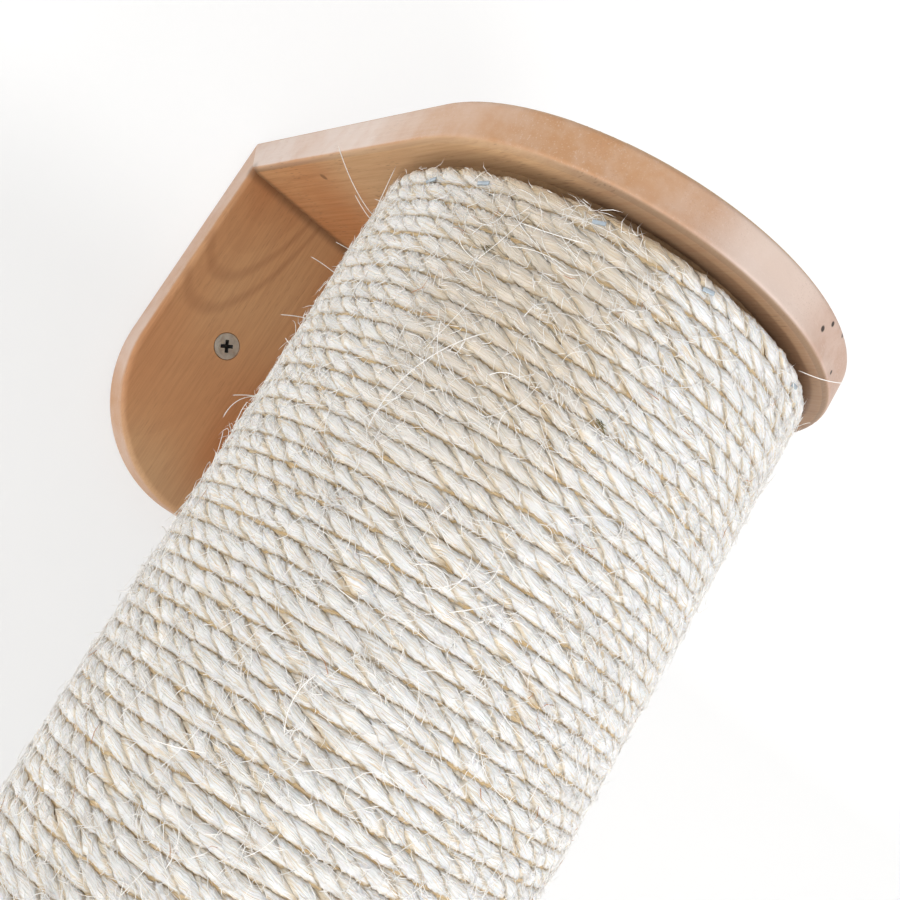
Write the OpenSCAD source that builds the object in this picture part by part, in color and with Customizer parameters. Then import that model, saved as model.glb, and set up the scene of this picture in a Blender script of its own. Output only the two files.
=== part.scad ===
// A climbing and scratching post for cats that is screwed to a wall.
// The post stands upright between two brackets, each made of two boards joined by a mitre.
// X points right as seen from the room, Y points into the wall and Z points up.
// The origin lies on the wall, in the middle of the four wall screws.

/* [Overall] */
// Height over the outer faces of both end plates
overall_height = 600; // [450:10:1200]
// Distance from the wall to the axis of the post
wall_to_axis = 141; // [115:1:200]

/* [Brackets] */
// Width of the boards, which is also the diameter of the round front
plate_width = 162; // [130:1:220]
// Thickness of the boards
plate_thickness = 15; // [12:0.5:22]
// Height of a wall plate with its mitre
wall_plate_height = 138; // [115:1:200]
// Radius of the two free corners of a wall plate
corner_radius = 50; // [15:1:60]
// Rounding of the edges of the boards
edge_radius = 2.5; // [1:0.5:4]

/* [Mitre biscuits] */
// Length of a biscuit
biscuit_length = 47; // [35:1:56]
// Width of a biscuit, half of it in each board
biscuit_width = 15; // [10:0.5:17]
// Thickness of a biscuit
biscuit_thickness = 4; // [3:0.1:5]
// Distance between the middles of the two biscuits in a mitre
biscuit_spacing = 80; // [60:1:95]

/* [Tube and plugs] */
// Outer diameter of the cardboard tube
tube_diameter = 137; // [110:1:150]
// Wall of the tube
tube_wall = 5; // [3:0.5:8]
// Thickness of the wooden plug in each end of the tube
plug_thickness = 18; // [15:1:40]

/* [Rope] */
// Diameter of the rope
rope_diameter = 6; // [4:0.5:8]
// Gap between neighbouring turns
turn_gap = 0.67; // [0.5:0.01:1.5]
// Gap between each end of the winding and the end plate
rope_end_gap = 0.8; // [0.5:0.1:5]
// Turns drawn one by one, from the upper end plate down
drawn_turns = 24; // [6:1:24]

/* [Screws] */
// Outer diameter of the threads
thread_diameter = 5; // [4:0.5:6]
// Diameter of the smooth neck under the head
neck_diameter = 3.8; // [3:0.1:3.9]
// Diameter of the heads
head_diameter = 10; // [8:0.5:12]
// Length of the wall screws
wall_screw_length = 60; // [45:1:90]
// Distance from the side of a wall plate to its screws
wall_screw_inset = 30; // [20:1:40]
// Distance from the inner face of an end plate to the wall screws
wall_screw_drop = 60; // [40:1:75]
// Length of the screws that hold the post
post_screw_length = 30; // [26:1:40]
// Diameter of the circle on which the post screws stand
post_screw_circle = 80; // [50:1:90]
// Number of post screws in each end plate
post_screw_count = 4; // [3:1:6]

/* [Hidden] */
$fn = 96;

// Clearances
seat_gap = 0.3;
glue_gap = 0.2;
thread_gap = 0.1;
hole_clearance = 0.5;
head_sink = 0.2;

// Small screw details
head_rim = 0.4;
point_length = 5;
cross_length = 5;
cross_width = 1.2;
cross_depth = 2.4;

// Heights and places that follow from the sizes above
outer_z = overall_height / 2;
inner_z = outer_z - plate_thickness;
wall_plate_end_z = outer_z - wall_plate_height;
wall_screw_x = plate_width / 2 - wall_screw_inset;
wall_screw_z = inner_z - wall_screw_drop;

// The biscuits sit nearer to the inner corner, where the mitre has the most wood behind it
biscuit_from_inner_corner = plate_thickness / 2;

// The rope has a six-sided section with one corner towards the axis, so its sides face the next turn
rope_sides = 6;
rings_per_turn = 24;
rope_half_height = rope_diameter / 2 * cos(180 / rope_sides);
rope_pitch = 2 * rope_half_height + turn_gap;
tube_radius = tube_diameter / 2;
rope_bed_radius = tube_radius + seat_gap;
rope_radius = rope_bed_radius / cos(180 / rings_per_turn) + rope_diameter / 2;
rope_start_angle = 90;
rope_start_z = inner_z - rope_end_gap - rope_half_height;
ring_count = drawn_turns * rings_per_turn + 1;
drawn_end_z = rope_start_z - drawn_turns * rope_pitch - rope_half_height;

wood = [0.80, 0.60, 0.44];
birch = [0.86, 0.76, 0.60];
cardboard = [0.62, 0.50, 0.36];
sisal = [0.90, 0.86, 0.77];
steel = [0.66, 0.67, 0.69];
margin = 1;

// Half of the section of a board, from its middle to one rounded side
module board_half_section(reach) {
    half = plate_thickness / 2;
    translate([0, -half])
        square([reach - edge_radius, plate_thickness]);
    translate([0, edge_radius - half])
        square([reach, plate_thickness - 2 * edge_radius]);
    for (side = [-1, 1])
        translate([reach - edge_radius, side * (half - edge_radius)])
            circle(edge_radius);
}

// The section of a board over its whole width
module board_section() {
    board_half_section(plate_width / 2);
    mirror([1, 0])
        board_half_section(plate_width / 2);
}

// Everything on the wall plate's side of the mitre, or on the other side of it
module mitre_side(towards_wall) {
    reach = 2 * plate_thickness;
    translate([0, 0, outer_z])
        rotate([-45, 0, 0])
            translate([-plate_width / 2 - margin, towards_wall ? 0 : -reach, -2 * reach])
                cube([plate_width + 2 * margin, reach, 3 * reach]);
}

// What rounds the outer corner of the bracket
module outer_corner_waste() {
    translate([-plate_width / 2 - margin, -edge_radius, outer_z - edge_radius])
        difference() {
            cube([plate_width + 2 * margin, edge_radius + margin, edge_radius + margin]);
            rotate([0, 90, 0])
                cylinder(r = edge_radius, h = plate_width + 2 * margin);
        }
}

// A biscuit, or the pocket for it, lying across the mitre
module biscuit(side, gap) {
    half_width = biscuit_width / 2 + gap;
    half_length = biscuit_length / 2 + gap;
    arc_radius = (half_length * half_length + half_width * half_width) / (2 * half_width);
    thickness = biscuit_thickness + 2 * gap;
    translate([side * biscuit_spacing / 2, -plate_thickness, inner_z])
        rotate([-45, 0, 0])
            translate([0, 0, biscuit_from_inner_corner])
                intersection_for (turn = [-1, 1])
                    translate([0, turn * (arc_radius - half_width), 0])
                        cylinder(r = arc_radius, h = thickness, center = true);
}

module biscuit_pair(gap) {
    for (side = [-1, 1])
        biscuit(side, gap);
}

// A countersunk screw with its head's top face at zero and its point at the given length
module countersunk_screw(length) {
    head_r = head_diameter / 2;
    neck_r = neck_diameter / 2;
    thread_r = thread_diameter / 2;
    neck_end = plate_thickness - head_sink;
    difference() {
        rotate_extrude()
            polygon([
                [0, 0],
                [head_r, 0],
                [head_r, head_rim],
                [neck_r, head_rim + head_r - neck_r],
                [neck_r, neck_end],
                [thread_r, neck_end],
                [thread_r, length - point_length],
                [0, length]
            ]);
        for (turn = [0, 90])
            rotate([0, 0, turn])
                translate([-cross_length / 2, -cross_width / 2, -margin])
                    cube([cross_length, cross_width, cross_depth + margin]);
    }
}

// The countersunk hole that a screw passes through, with the board's face at zero
module countersunk_hole() {
    sink_r = head_diameter / 2 + seat_gap;
    hole_r = (thread_diameter + hole_clearance) / 2;
    sink_rim = head_sink + head_rim;
    rotate_extrude()
        polygon([
            [0, -margin],
            [sink_r, -margin],
            [sink_r, sink_rim],
            [hole_r, sink_rim + sink_r - hole_r],
            [hole_r, plate_thickness + margin],
            [0, plate_thickness + margin]
        ]);
}

// Places what is drawn along Z at each wall screw of the upper bracket, heading into the wall
module at_upper_wall_screws() {
    for (side = [-1, 1])
        translate([side * wall_screw_x, -plate_thickness, wall_screw_z])
            rotate([-90, 0, 0])
                children();
}

// Places what is drawn along Z at each post screw of the upper bracket, heading down
module at_upper_post_screws() {
    for (i = [0 : post_screw_count - 1])
        translate([0, -wall_to_axis, outer_z])
            rotate([0, 0, (i + 0.5) * 360 / post_screw_count])
                translate([post_screw_circle / 2, 0, 0])
                    rotate([180, 0, 0])
                        children();
}

// Draws its children and their mirror image below
module both_ends() {
    children();
    mirror([0, 0, 1])
        children();
}

module upper_end_plate() {
    middle_z = (outer_z + inner_z) / 2;
    color(wood)
        difference() {
            union() {
                translate([0, 0, middle_z])
                    rotate([90, 0, 0])
                        linear_extrude(wall_to_axis)
                            board_section();
                translate([0, -wall_to_axis, middle_z])
                    rotate([0, 0, 180])
                        rotate_extrude(angle = 180)
                            board_half_section(plate_width / 2);
            }
            mitre_side(true);
            outer_corner_waste();
            biscuit_pair(glue_gap);
            at_upper_post_screws()
                countersunk_hole();
        }
}

module lower_end_plate() {
    mirror([0, 0, 1])
        upper_end_plate();
}

module upper_wall_plate() {
    corner_x = plate_width / 2 - corner_radius;
    corner_z = wall_plate_end_z + corner_radius;
    color(wood)
        difference() {
            translate([0, -plate_thickness / 2, 0])
                union() {
                    translate([0, 0, corner_z])
                        linear_extrude(outer_z - corner_z)
                            board_section();
                    for (side = [0, 1])
                        mirror([side, 0, 0])
                            translate([corner_x, 0, corner_z])
                                rotate([90, 90, 0])
                                    rotate_extrude(angle = 90)
                                        board_half_section(corner_radius);
                    translate([-corner_x, 0, corner_z])
                        rotate([0, 90, 0])
                            linear_extrude(2 * corner_x)
                                board_half_section(corner_radius);
                }
            mitre_side(false);
            outer_corner_waste();
            biscuit_pair(glue_gap);
            at_upper_wall_screws()
                countersunk_hole();
        }
}

module lower_wall_plate() {
    mirror([0, 0, 1])
        upper_wall_plate();
}

module mitre_biscuits() {
    color(birch)
        both_ends()
            biscuit_pair(0);
}

module post_tube() {
    color(cardboard)
        translate([0, -wall_to_axis, -inner_z])
            difference() {
                cylinder(r = tube_radius, h = 2 * inner_z);
                translate([0, 0, -margin])
                    cylinder(r = tube_radius - tube_wall, h = 2 * inner_z + 2 * margin);
            }
}

module upper_tube_plug() {
    color(birch)
        difference() {
            translate([0, -wall_to_axis, inner_z - plug_thickness])
                cylinder(r = tube_radius - tube_wall - seat_gap, h = plug_thickness);
            at_upper_post_screws()
                cylinder(d = thread_diameter + 2 * thread_gap, h = plate_thickness + plug_thickness + margin);
        }
}

module lower_tube_plug() {
    mirror([0, 0, 1])
        upper_tube_plug();
}

// The angle and the height of the rope's centre line at a ring, counted from the top
function ring_angle(i) = rope_start_angle - i * 360 / rings_per_turn;
function ring_z(i) = rope_start_z - i * rope_pitch / rings_per_turn;

// The points of one ring, moved along the rope by a straight run at either end
function ring_points(i, run) =
    let (angle = ring_angle(i))
    [
        for (k = [0 : rope_sides - 1])
            let (turn = k * 360 / rope_sides)
            let (r = rope_radius + rope_diameter / 2 * cos(turn))
            [
                r * cos(angle) - run * sin(angle),
                r * sin(angle) + run * cos(angle) - wall_to_axis,
                ring_z(i) + rope_diameter / 2 * sin(turn)
            ]
    ];

// All rings of the rope, with a straight run of one rope diameter at each end
function rope_rings() = [
    ring_points(0, rope_diameter),
    for (i = [0 : ring_count - 1]) ring_points(i, 0),
    ring_points(ring_count - 1, -rope_diameter)
];

// The least distance between points of the rope about one turn apart
function least_turn_gap(rings) = min([
    for (i = [0 : len(rings) - rings_per_turn - 1])
        for (j = [i + rings_per_turn - 1 : min(i + rings_per_turn + 1, len(rings) - 1)])
            for (p = rings[i])
                for (q = rings[j])
                    norm(p - q)
]);

// One unbroken tube through the given rings, closed at both ends, all in triangles
module swept_tube(rings) {
    sides = len(rings[0]);
    last = (len(rings) - 1) * sides;
    points = [for (ring = rings) for (p = ring) p];
    walls = [
        for (i = [0 : len(rings) - 2])
            for (k = [0 : sides - 1])
                let (a = i * sides + k, b = i * sides + (k + 1) % sides)
                for (face = [[a, b, b + sides], [a, b + sides, a + sides]])
                    face
    ];
    caps = [
        for (k = [1 : sides - 2])
            for (face = [[0, k + 1, k], [last, last + k, last + k + 1]])
                face
    ];
    polyhedron(points = points, faces = concat(walls, caps));
}

module sisal_winding_upper() {
    rings = rope_rings();
    echo(least_gap_between_turns_mm = least_turn_gap(rings));
    color(sisal)
        swept_tube(rings);
}

// The rest of the winding as a plain sleeve of the same outer size
module sisal_winding_lower() {
    bottom_z = -inner_z + rope_end_gap;
    color(sisal)
        translate([0, -wall_to_axis, bottom_z])
            difference() {
                cylinder(r = rope_bed_radius + rope_diameter, h = drawn_end_z - seat_gap - bottom_z);
                translate([0, 0, -margin])
                    cylinder(r = rope_bed_radius, h = drawn_end_z - bottom_z + 2 * margin);
            }
}

module post_screws() {
    color(steel)
        both_ends()
            at_upper_post_screws()
                translate([0, 0, head_sink])
                    countersunk_screw(post_screw_length);
}

module wall_screws() {
    color(steel)
        both_ends()
            at_upper_wall_screws()
                translate([0, 0, head_sink])
                    countersunk_screw(wall_screw_length);
}

upper_end_plate();
lower_end_plate();
upper_wall_plate();
lower_wall_plate();
mitre_biscuits();
post_tube();
upper_tube_plug();
lower_tube_plug();
sisal_winding_upper();
sisal_winding_lower();
post_screws();
wall_screws();
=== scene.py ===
import math
import random

import bmesh
import bpy
import numpy as np
from mathutils import Matrix, Vector


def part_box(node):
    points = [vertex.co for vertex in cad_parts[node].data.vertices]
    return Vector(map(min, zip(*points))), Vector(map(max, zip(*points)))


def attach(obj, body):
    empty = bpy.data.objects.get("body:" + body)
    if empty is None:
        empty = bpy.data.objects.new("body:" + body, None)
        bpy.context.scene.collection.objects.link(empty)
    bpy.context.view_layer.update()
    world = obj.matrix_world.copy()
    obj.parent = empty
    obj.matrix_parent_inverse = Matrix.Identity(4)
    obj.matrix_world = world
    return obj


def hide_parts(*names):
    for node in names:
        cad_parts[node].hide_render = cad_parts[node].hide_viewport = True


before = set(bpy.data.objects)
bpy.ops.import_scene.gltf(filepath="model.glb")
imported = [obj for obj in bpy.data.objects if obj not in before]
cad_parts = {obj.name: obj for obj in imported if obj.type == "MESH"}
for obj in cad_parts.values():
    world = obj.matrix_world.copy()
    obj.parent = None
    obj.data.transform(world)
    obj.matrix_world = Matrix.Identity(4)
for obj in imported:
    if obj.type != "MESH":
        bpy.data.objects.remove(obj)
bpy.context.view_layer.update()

bl_info = {
    "name": "Wall-mounted climbing post",
    "version": (1, 0, 0),
    "blender": (4, 5, 0),
    "location": "View3D > Sidebar > Climbing Post",
    "description": "Finishes a rope-wound climbing post for cats on its two wooden brackets",
    "category": "Object",
}

MM = 0.001
BODY = "root"
FULL_TURN = 2 * math.pi
QUARTER_TURN = math.pi / 2

# The post's axis stands in front of the wall, and the wall is the plane y = 0
TUBE_LOW, TUBE_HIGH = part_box("post_tube")
AXIS_Y = (TUBE_LOW.y + TUBE_HIGH.y) / 2
INNER_Z = TUBE_HIGH.z
WINDING_LOW, WINDING_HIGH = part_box("sisal_winding_upper")
WINDING_RADIUS = (WINDING_HIGH.x - WINDING_LOW.x) / 2
OUTER_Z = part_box("upper_end_plate")[1].z
PLATE_HALF_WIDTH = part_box("upper_end_plate")[1].x
PLATE_THICKNESS = OUTER_Z - INNER_Z
SCREW_HEAD_RADIUS = 5.0 * MM


def paint(red, green, blue):
    """The linear colour of three screen values from 0 to 255."""
    return tuple(
        (c / 255 / 12.92) if c / 255 <= 0.04045 else ((c / 255 + 0.055) / 1.055) ** 2.4
        for c in (red, green, blue)
    )


def times(colour, factor):
    return tuple(c * factor for c in colour)


def number_setting(name, value, description, **limits):
    return bpy.props.FloatProperty(name=name, description=description, default=value, **limits)


def length_setting(name, value, description):
    return number_setting(name, value, description, min=0.0, precision=5, unit="LENGTH")


def power_setting(name, value, description):
    return number_setting(name, value, description, min=0.0, unit="POWER")


def count_setting(name, value, description):
    return bpy.props.IntProperty(name=name, description=description, default=value)


def colour_setting(name, value, description):
    return bpy.props.FloatVectorProperty(
        name=name, description=description, default=value, min=0.0, max=1.0, subtype="COLOR"
    )


class ClimbingPostRope(bpy.types.PropertyGroup):
    """Sizes and colours of the sisal rope that is wound round the post."""

    diameter: length_setting("Rope diameter", 6.0 * MM, "Diameter of the laid rope")
    turn_pitch: length_setting("Turn pitch", 5.866 * MM, "Height that one turn takes on the post")
    lay_length: length_setting("Lay length", 28.0 * MM, "Length in which a strand goes once round the rope")
    strand_offset: length_setting("Strand offset", 0.95 * MM, "Distance from the rope's middle to a strand's")
    strand_diameter: length_setting("Strand diameter", 4.05 * MM, "Diameter of one of the three strands")
    spread: number_setting("Spread", 1.27, "How far the rope is pressed out up and down", min=1.0, max=2.5)
    flatness: number_setting("Flatness", 0.76, "Height left of the rope's outer half", min=0.5, max=1.0)
    rounding: length_setting("Rounding", 0.28 * MM, "Depth by which each turn falls away at its sides")
    felt_depth: length_setting("Felt depth", 1.75 * MM, "Depth at which pressed fibres close the grooves")
    ring_step: length_setting("Ring step", 2.2 * MM, "Distance between two rings of points along a strand")
    start_angle: number_setting("Start angle", QUARTER_TURN, "Where the first turn starts", subtype="ANGLE")
    fibre_slope: number_setting("Fibre slope", 0.45, "How far fibres run across a strand", min=0.0, max=1.0)
    seed: count_setting("Seed", 7, "Number that the rope's unevenness starts from")
    pale: colour_setting("Pale fibre", paint(253, 253, 254), "Colour of most of the fibres")
    warm: colour_setting("Warm fibre", paint(243, 241, 239), "Colour of the darker fibres")
    # The groove and pit colours also paint shade on the rope, and colour the pressed fibres in the grooves
    groove: colour_setting("Groove", paint(231, 209, 176), "Colour between the strands and turns")
    pit: colour_setting("Pit", paint(207, 177, 131), "Colour deep under the strands")


class ClimbingPostFibres(bpy.types.PropertyGroup):
    """Numbers and sizes of the fibres that stand out of the rope."""

    short_count: count_setting("Short fibres", 48000, "Number of short fibres on the whole post")
    long_count: count_setting("Long fibres", 3000, "Number of long fibres on the whole post")
    short_length: length_setting("Short length", 5.0 * MM, "Usual length of a short fibre")
    long_length: length_setting("Long length", 13.0 * MM, "Usual length of a long fibre")
    thickness: length_setting("Fibre thickness", 0.22 * MM, "Usual thickness of a loose fibre")
    seed: count_setting("Seed", 21, "Number that the loose fibres start from")
    colour: colour_setting("Loose fibre", paint(254, 253, 250), "Colour of the loose fibres")
    stained: colour_setting("Stained fibre", paint(196, 140, 98), "Colour of the few brown fibres")
    green: colour_setting("Green fibre", paint(116, 106, 68), "Colour of the few greenish leaf fibres")


class ClimbingPostWood(bpy.types.PropertyGroup):
    """Colours and grain of the wooden boards, plugs and biscuits."""

    light: colour_setting("Light wood", paint(206, 162, 118), "Lighter colour on the faces of the boards")
    dark: colour_setting("Dark wood", paint(184, 122, 76), "Darker colour on the faces of the boards")
    straw: colour_setting("Straw", paint(200, 164, 125), "Yellowish colour at the front of the end plates")
    edge: colour_setting("Edge", paint(219, 203, 194), "Colour of the sanded edges along the grain")
    scuffed: colour_setting("Scuffed", paint(184, 156, 142), "Greyish colour where the rim is rubbed")
    # The umber colour is painted shade on the end plates' inner faces and rounded inner edges
    painted_shade: colour_setting("Umber", paint(116, 93, 72), "Colour on the far side of the end plates")
    orange: colour_setting("Orange", paint(186, 116, 68), "Colour across the middle of the wall plates")
    end_grain: colour_setting("End grain", paint(190, 144, 105), "Colour of sanded edges across the grain")
    ring: colour_setting("Ring", paint(140, 92, 60), "Colour of the lines between the growth rings")
    # The fleck colour also paints shade into the inner corner and round the post's foot
    fleck_and_shade: colour_setting("Fleck", paint(96, 66, 46), "Colour of the short dark strokes along the grain")
    plain: colour_setting("Pale wood", paint(222, 196, 156), "Colour of the plugs and biscuits")
    card: colour_setting("Cardboard", paint(160, 128, 92), "Colour of the tube")
    ring_width: length_setting("Ring width", 3.4 * MM, "Distance between two growth rings")


class ClimbingPostMetal(bpy.types.PropertyGroup):
    """Sizes and colours of the screws and staples."""

    zinc: colour_setting("Zinc", paint(214, 212, 204), "Colour of the screws")
    wire: colour_setting("Staple wire", paint(186, 198, 208), "Colour of the staples")
    crown: length_setting("Staple crown", 5.0 * MM, "Length of a staple's back")
    leg: length_setting("Staple leg", 8.0 * MM, "Length of a staple's legs")
    wire_width: length_setting("Wire width", 1.2 * MM, "Width of the flat staple wire")
    wire_height: length_setting("Wire height", 0.6 * MM, "Height of the flat staple wire")
    thread_pitch: length_setting("Thread pitch", 2.4 * MM, "Distance between two turns of a screw's thread")


class ClimbingPostStage(bpy.types.PropertyGroup):
    """Camera, light, floor and wall."""

    floor_drop: length_setting("Floor drop", 0.45, "Height of the lower bracket above the floor")
    ambient: number_setting("Ambient", 0.7, "Strength of the light from all round", min=0.0)
    key: power_setting("Key light", 10.0, "Power of the main light")
    fill: power_setting("Fill light", 1.5, "Power of the light from below at the left")
    side: power_setting("Side light", 4.2, "Power of the light from the left along the wall")
    wall: colour_setting("Wall", paint(250, 249, 247), "Colour of the wall and the floor")


# Helpers for modelling


def deselect_all():
    bpy.ops.object.select_all(action="DESELECT")


def make_active(piece):
    deselect_all()
    piece.select_set(True)
    bpy.context.view_layer.objects.active = piece


def new_piece(name):
    """Names the primitive that was just added."""
    piece = bpy.context.active_object
    piece.name = name
    piece.data.name = name
    return piece


def start_edit():
    """Opens the active piece in edit mode, with all of it selected."""
    bpy.ops.object.mode_set(mode="EDIT")
    bpy.ops.mesh.select_all(action="SELECT")


def end_edit():
    bpy.ops.object.mode_set(mode="OBJECT")


def edit_select(piece, test, kind="faces"):
    """Selects, in edit mode, what the test says yes to."""
    mesh = bmesh.from_edit_mesh(piece.data)
    for items in (mesh.faces, mesh.edges, mesh.verts):
        for item in items:
            item.select_set(False)
    for item in getattr(mesh, kind):
        item.select_set(bool(test(item)))
    mesh.select_flush_mode()
    bmesh.update_edit_mesh(piece.data)


def extrude(offset):
    bpy.ops.mesh.extrude_region_move(TRANSFORM_OT_translate={"value": offset})


def draw_up(height, radius, profile, centre_y=0.0):
    """Extrudes the selected ring up through a profile of heights and radii."""
    for next_height, next_radius in profile:
        extrude((0, 0, next_height - height))
        scale = next_radius / radius
        bpy.ops.transform.resize(value=(scale, scale, 1.0), center_override=(0, centre_y, next_height))
        height, radius = next_height, next_radius


def turn_outwards():
    """Points all faces of the piece in edit mode outwards."""
    bpy.ops.mesh.select_all(action="SELECT")
    bpy.ops.mesh.normals_make_consistent(inside=False)


def apply_modifiers(piece):
    make_active(piece)
    for modifier in list(piece.modifiers):
        bpy.ops.object.modifier_apply(modifier=modifier.name)


def place(piece, matrix):
    """Puts a piece in its place, in its mesh."""
    make_active(piece)
    piece.matrix_world = matrix
    bpy.ops.object.transform_apply(location=True, rotation=True, scale=True)


def smooth(piece, angle):
    """Shades a piece smooth, apart from its edges sharper than the angle in degrees."""
    make_active(piece)
    bpy.ops.object.shade_smooth_by_angle(angle=math.radians(angle))


def mesh_piece(name, points, loops, starts, values, strand_map=None):
    """A smooth piece: its points, the corners of its faces in a row, and where each face starts."""
    mesh = bpy.data.meshes.new(name)
    mesh.vertices.add(points.size // 3)
    mesh.vertices.foreach_set("co", points.reshape(-1).astype(np.float32))
    mesh.loops.add(loops.size)
    mesh.loops.foreach_set("vertex_index", loops.reshape(-1).astype(np.int32))
    mesh.polygons.add(starts.size)
    mesh.polygons.foreach_set("loop_start", starts.reshape(-1).astype(np.int32))
    mesh.update(calc_edges=True)
    mesh.polygons.foreach_set("use_smooth", np.ones(starts.size, bool))
    if strand_map is not None:
        layer = mesh.uv_layers.new(name="strand")
        layer.data.foreach_set("uv", strand_map.reshape(-1).astype(np.float32))
    for key, numbers in values.items():
        attribute = mesh.attributes.new(key, "FLOAT", "POINT")
        attribute.data.foreach_set("value", numbers.reshape(-1).astype(np.float32))
    mesh.validate()
    piece = bpy.data.objects.new(name, mesh)
    bpy.context.scene.collection.objects.link(piece)
    return piece


def dress(piece, material, slot, *nodes):
    """Gives a new piece its material, its body and what it stands for."""
    if not piece.data.materials:
        piece.data.materials.append(material)
    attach(piece, BODY)
    if nodes:
        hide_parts(*nodes)


def dress_node(name, material):
    """Gives a CAD node a better material."""
    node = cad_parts[name]
    if not node.data.materials:
        node.data.materials.append(material)
    for index in range(len(node.data.materials)):
        node.data.materials[index] = material


def set_copies(master, places, material, slot, *nodes):
    """Puts a copy of a master at each named place, and deletes the master."""
    for name, matrix in places.items():
        make_active(master)
        bpy.ops.object.duplicate(linked=False)
        piece = new_piece(name)
        place(piece, matrix)
        dress(piece, material, slot, *nodes)
    bpy.data.objects.remove(master)


# Helpers for materials


class Signal:
    """A value that nodes work out at each point of a piece; sums with it add Math nodes."""

    def __init__(self, finish, socket):
        self.finish = finish
        self.socket = socket

    def __add__(self, other):
        return self.finish.math("ADD", self, other)

    def __sub__(self, other):
        return self.finish.math("SUBTRACT", self, other)

    def __mul__(self, other):
        return self.finish.math("MULTIPLY", self, other)

    def __truediv__(self, other):
        return self.finish.math("DIVIDE", self, other)

    def __abs__(self):
        return self.finish.math("ABSOLUTE", self)


class Finish:
    """The nodes of a material or of the world, and the steps that add to them."""

    def __init__(self, owner, output="ShaderNodeOutputMaterial"):
        owner.use_nodes = True
        self.owner = owner
        self.tree = owner.node_tree
        self.tree.nodes.clear()
        self.output = self.add(output)

    def add(self, kind, **settings):
        node = self.tree.nodes.new(kind)
        for key, value in settings.items():
            setattr(node, key, value)
        return node

    def read(self, kind, output, **settings):
        """An output of a new node that takes nothing in."""
        return Signal(self, self.add(kind, **settings).outputs[output])

    def put(self, socket, value):
        if isinstance(value, Signal):
            self.tree.links.new(value.socket, socket)
        elif hasattr(value, "__len__") and len(value) == 3 and len(socket.default_value) == 4:
            socket.default_value = (*value, 1.0)
        else:
            socket.default_value = value

    def feed(self, kind, output, *values, **settings):
        """An output of a new node whose first inputs take the values."""
        node = self.add(kind, **settings)
        for socket, value in zip(node.inputs, values):
            self.put(socket, value)
        return Signal(self, node.outputs[output])

    def math(self, operation, a, b=0.0, clamp=False):
        return self.feed("ShaderNodeMath", 0, a, b, operation=operation, use_clamp=clamp)

    def highest(self, first, *others):
        for other in others:
            first = self.math("MAXIMUM", first, other)
        return first

    def fraction(self, value):
        return self.math("FRACT", value)

    def length(self, vector):
        return self.feed("ShaderNodeVectorMath", "Value", vector, operation="LENGTH")

    def distance(self, a, b):
        return self.feed("ShaderNodeVectorMath", "Value", a, b, operation="DISTANCE")

    def stretched(self, vector, factors):
        return self.feed("ShaderNodeVectorMath", "Vector", vector, factors, operation="MULTIPLY")

    def split(self, vector):
        node = self.add("ShaderNodeSeparateXYZ")
        self.put(node.inputs[0], vector)
        return [Signal(self, socket) for socket in node.outputs]

    def join(self, x, y, z=0.0):
        return self.feed("ShaderNodeCombineXYZ", 0, x, y, z)

    def point(self):
        return self.read("ShaderNodeTexCoord", "Object")

    def normal(self):
        return self.split(self.read("ShaderNodeTexCoord", "Normal"))

    def axis_distance(self, x, y):
        """Distance from the post's axis."""
        return self.length(self.join(x, y - AXIS_Y))

    def axis_angle(self, x, y):
        """Angle round the post's axis."""
        return self.math("ARCTAN2", y - AXIS_Y, x)

    def noise(self, vector, scale, detail=2.0, roughness=0.5):
        node = self.add("ShaderNodeTexNoise")
        self.put(node.inputs["Vector"], vector)
        node.inputs["Scale"].default_value = scale
        node.inputs["Detail"].default_value = detail
        node.inputs["Roughness"].default_value = roughness
        return Signal(self, node.outputs["Fac"])

    def cells(self, vector):
        node = self.add("ShaderNodeTexVoronoi")
        self.put(node.inputs["Vector"], vector)
        node.inputs["Scale"].default_value = 1.0
        return Signal(self, node.outputs["Distance"])

    def span(self, value, low, high, to_low=0.0, to_high=1.0):
        """Maps a value softly from one range to another."""
        return self.feed(
            "ShaderNodeMapRange", "Result", value, low, high, to_low, to_high, interpolation_type="SMOOTHSTEP"
        )

    def fade(self, value, low, high, strength=1.0):
        """The strength at the low end of a range, and nothing at its high end."""
        return self.span(value, low, high, strength, 0.0)

    def blend(self, amount, a, b):
        node = self.add("ShaderNodeMix", data_type="RGBA")
        for index, value in ((0, amount), (6, a), (7, b)):
            self.put(node.inputs[index], value)
        return Signal(self, node.outputs[2])

    def mix_shaders(self, amount, a, b):
        return self.feed("ShaderNodeMixShader", 0, amount, a, b)

    def seen_rays(self):
        """Whether a ray comes from the camera, or shows in metal or glass."""
        kinds = ("Is Camera Ray", "Is Glossy Ray", "Is Transmission Ray")
        return self.highest(*(self.read("ShaderNodeLightPath", kind) for kind in kinds))

    def surface(self, colour, roughness, height, height_mm, strength, **sockets):
        """Ends a material with its colour, roughness and bumps of the height in millimetres."""
        shader = self.add("ShaderNodeBsdfPrincipled")
        sockets = {"Base Color": colour, "Roughness": roughness, **sockets}
        for key, value in sockets.items():
            self.put(shader.inputs[key.replace("_", " ")], value)
        bump = self.add("ShaderNodeBump")
        bump.inputs["Strength"].default_value = strength
        bump.inputs["Distance"].default_value = height_mm * MM
        self.put(bump.inputs["Height"], height)
        self.tree.links.new(bump.outputs[0], shader.inputs["Normal"])
        self.tree.links.new(shader.outputs[0], self.output.inputs["Surface"])
        return self.owner


def new_finish(name):
    return Finish(bpy.data.materials.new(name))


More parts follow.
